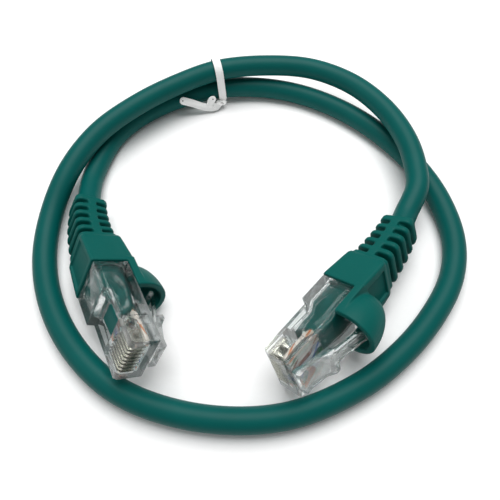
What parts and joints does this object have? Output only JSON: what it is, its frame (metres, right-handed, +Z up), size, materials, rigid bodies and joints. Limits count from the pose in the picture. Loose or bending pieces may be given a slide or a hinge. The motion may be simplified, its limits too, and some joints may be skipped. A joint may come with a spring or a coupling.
{
  "type": "ethernet patch cable",
  "caption": "Short round network patch cable coiled and tied, with a clear eight-way modular plug and a ribbed, hooded strain-relief boot at each end.",
  "frame": {"origin": "on the floor, under the middle of the box round the two plugs, their boots and the tie; the free cable isn't counted", "axes": "+Z up, +Y from the plugs' noses towards the tied side of the coil, +X to the right of that; the coil lies in the XY plane"},
  "size_m": [0.1033, 0.1015, 0.0184],
  "materials": {
    "cable_pvc": "dark green flexible PVC, satin",
    "boot_pvc": "dark green moulded PVC, fine matt skin",
    "clear_plastic": "clear moulded polycarbonate, glossy",
    "contact_metal": "gold flash over nickel, polished",
    "tie_plastic": "white flat plastic strip, satin",
    "wire_orange": "coloured polyethylene insulation",
    "wire_green": "coloured polyethylene insulation",
    "wire_blue": "coloured polyethylene insulation",
    "wire_white_blue": "coloured polyethylene insulation",
    "wire_brown": "coloured polyethylene insulation",
    "wire_white_brown": "coloured polyethylene insulation",
    "wire_white_green": "coloured polyethylene insulation",
    "wire_white_orange": "coloured polyethylene insulation"
  },
  "bodies": {
    "cable_assembly": {"plug_a_body": "clear_plastic", "plug_a_contact_1": "contact_metal", "plug_a_contact_2": "contact_metal", "plug_a_contact_3": "contact_metal", "plug_a_contact_4": "contact_metal", "plug_a_contact_5": "contact_metal", "plug_a_contact_6": "contact_metal", "plug_a_contact_7": "contact_metal", "plug_a_contact_8": "contact_metal", "plug_a_wire_1": "wire_orange", "plug_a_wire_2": "wire_green", "plug_a_wire_3": "wire_blue", "plug_a_wire_4": "wire_white_blue", "plug_a_wire_5": "wire_brown", "plug_a_wire_6": "wire_white_brown", "plug_a_wire_7": "wire_white_green", "plug_a_wire_8": "wire_white_orange", "plug_a_jacket_end": "cable_pvc", "boot_a": "boot_pvc", "plug_b_body": "clear_plastic", "plug_b_contact_1": "contact_metal", "plug_b_contact_2": "contact_metal", "plug_b_contact_3": "contact_metal", "plug_b_contact_4": "contact_metal", "plug_b_contact_5": "contact_metal", "plug_b_contact_6": "contact_metal", "plug_b_contact_7": "contact_metal", "plug_b_contact_8": "contact_metal", "plug_b_wire_1": "wire_orange", "plug_b_wire_2": "wire_green", "plug_b_wire_3": "wire_blue", "plug_b_wire_4": "wire_white_blue", "plug_b_wire_5": "wire_brown", "plug_b_wire_6": "wire_white_brown", "plug_b_wire_7": "wire_white_green", "plug_b_wire_8": "wire_white_orange", "plug_b_jacket_end": "cable_pvc", "boot_b": "boot_pvc", "cable_jacket": "cable_pvc", "twist_tie": "tie_plastic"},
    "latch_a": {"plug_a_latch": "clear_plastic"},
    "latch_b": {"plug_b_latch": "clear_plastic"}
  },
  "joints": [
    {"name": "latch_a_press", "type": "hinge", "parent": "cable_assembly", "child": "latch_a", "pos_m": [-0.01593, -0.03945, 0.00964], "axis": [0.4441, 0.3723, 0.815], "range_deg": [0, 12], "stiffness_Nm_per_rad": 0.4},
    {"name": "latch_b_press", "type": "hinge", "parent": "cable_assembly", "child": "latch_b", "pos_m": [0.01218, -0.04491, 0.01081], "axis": [-0.3002, 0.313, 0.901], "range_deg": [0, 12], "stiffness_Nm_per_rad": 0.4}
  ]
}
